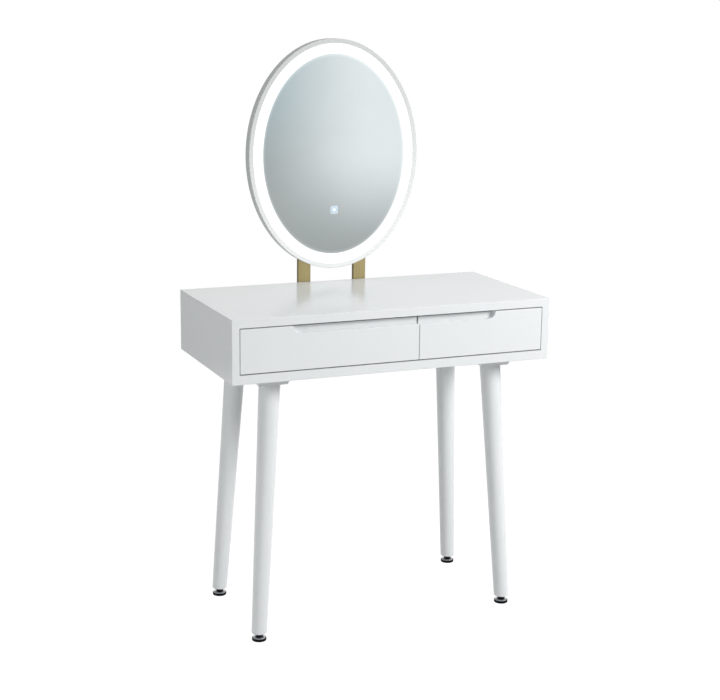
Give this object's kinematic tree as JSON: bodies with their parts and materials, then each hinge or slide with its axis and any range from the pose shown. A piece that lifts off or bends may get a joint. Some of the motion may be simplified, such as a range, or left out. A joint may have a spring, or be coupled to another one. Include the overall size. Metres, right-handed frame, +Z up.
{
  "type": "vanity table with mirror",
  "caption": "White dressing table on splayed round legs, with push-in drawers under the top and a lit oval mirror carried on flat gold posts behind it.",
  "frame": {"origin": "on the floor, at the middle of the whole object's width and depth", "axes": "+Z up, -Y to the front where the drawers open, +X to the right seen from the front"},
  "size_m": [0.8, 0.4174, 1.383],
  "materials": {
    "white_lacquer": "sprayed white lacquer, satin to glossy",
    "drawer_board": "white melamine",
    "hardboard": "white faced hardboard",
    "backing_board": "white faced fibreboard",
    "beech": "bare beech",
    "gold_metal": "satin champagne gold",
    "gold_plastic": "satin",
    "frame_paint": "satin light grey",
    "mirror_glass": "polished silvered glass",
    "opal_acrylic": "opal, lit from behind",
    "led_tape": "white circuit tape",
    "sensor_board": "green circuit board",
    "driver_plastic": "fine texture",
    "zinc_steel": "bright zinc",
    "foot_chrome": "bright chrome"
  },
  "bodies": {
    "table": {"top_panel": "white_lacquer", "bottom_panel": "white_lacquer", "left_side_panel": "white_lacquer", "right_side_panel": "white_lacquer", "front_left_leg": "white_lacquer", "front_left_leg_block": "white_lacquer", "front_right_leg": "white_lacquer", "front_right_leg_block": "white_lacquer", "rear_left_leg": "white_lacquer", "rear_left_leg_block": "white_lacquer", "rear_right_leg": "white_lacquer", "rear_right_leg_block": "white_lacquer", "centre_divider": "drawer_board", "back_panel": "hardboard", "carcass_dowels": "beech", "cam_bolts": "zinc_steel", "cam_locks": "zinc_steel", "back_panel_screws": "zinc_steel", "leg_block_screws": "zinc_steel", "leg_hanger_bolts": "zinc_steel", "foot_inserts": "zinc_steel", "left_bay_cabinet_rails": "zinc_steel", "right_bay_cabinet_rails": "zinc_steel", "cabinet_rail_screws": "zinc_steel", "left_mirror_post": "gold_metal", "right_mirror_post": "gold_metal", "post_end_caps": "gold_plastic", "post_screws": "zinc_steel", "mirror_frame": "frame_paint", "light_ring": "opal_acrylic", "mirror_glass": "mirror_glass", "led_strip": "led_tape", "mirror_backing": "backing_board", "frame_brackets": "zinc_steel", "mirror_small_screws": "zinc_steel", "touch_sensor": "sensor_board", "driver_housing": "driver_plastic", "power_inlet": "zinc_steel"},
    "left_drawer": {"left_drawer_front": "white_lacquer", "left_drawer_left_side": "drawer_board", "left_drawer_right_side": "drawer_board", "left_drawer_back": "drawer_board", "left_drawer_bottom": "drawer_board", "left_drawer_dowels": "beech", "left_drawer_rails": "zinc_steel", "left_drawer_screws": "zinc_steel"},
    "right_drawer": {"right_drawer_front": "white_lacquer", "right_drawer_left_side": "drawer_board", "right_drawer_right_side": "drawer_board", "right_drawer_back": "drawer_board", "right_drawer_bottom": "drawer_board", "right_drawer_dowels": "beech", "right_drawer_rails": "zinc_steel", "right_drawer_screws": "zinc_steel"},
    "left_cages": {"left_ball_cages": "zinc_steel"},
    "right_cages": {"right_ball_cages": "zinc_steel"},
    "front_left_foot": {"front_left_levelling_foot": "foot_chrome"},
    "front_right_foot": {"front_right_levelling_foot": "foot_chrome"},
    "rear_left_foot": {"rear_left_levelling_foot": "foot_chrome"},
    "rear_right_foot": {"rear_right_levelling_foot": "foot_chrome"}
  },
  "joints": [
    {"name": "left_drawer_slide", "type": "slide", "parent": "table", "child": "left_drawer", "axis": [0, -1, 0], "range_m": [0, 0.25]},
    {"name": "left_cage_slide", "type": "slide", "parent": "table", "child": "left_cages", "axis": [0, -1, 0], "range_m": [0, 0.125]},
    {"name": "right_drawer_slide", "type": "slide", "parent": "table", "child": "right_drawer", "axis": [0, -1, 0], "range_m": [0, 0.25]},
    {"name": "right_cage_slide", "type": "slide", "parent": "table", "child": "right_cages", "axis": [0, -1, 0], "range_m": [0, 0.125]},
    {"name": "front_left_foot_screw", "type": "slide", "parent": "table", "child": "front_left_foot", "axis": [0, 0, -1], "range_m": [0, 0.01]},
    {"name": "front_right_foot_screw", "type": "slide", "parent": "table", "child": "front_right_foot", "axis": [0, 0, -1], "range_m": [0, 0.01]},
    {"name": "rear_left_foot_screw", "type": "slide", "parent": "table", "child": "rear_left_foot", "axis": [0, 0, -1], "range_m": [0, 0.01]},
    {"name": "rear_right_foot_screw", "type": "slide", "parent": "table", "child": "rear_right_foot", "axis": [0, 0, -1], "range_m": [0, 0.01]}
  ],
  "couplings": [
    {"joint": "left_cage_slide", "follows": "left_drawer_slide", "ratio": 0.5},
    {"joint": "right_cage_slide", "follows": "right_drawer_slide", "ratio": 0.5}
  ]
}
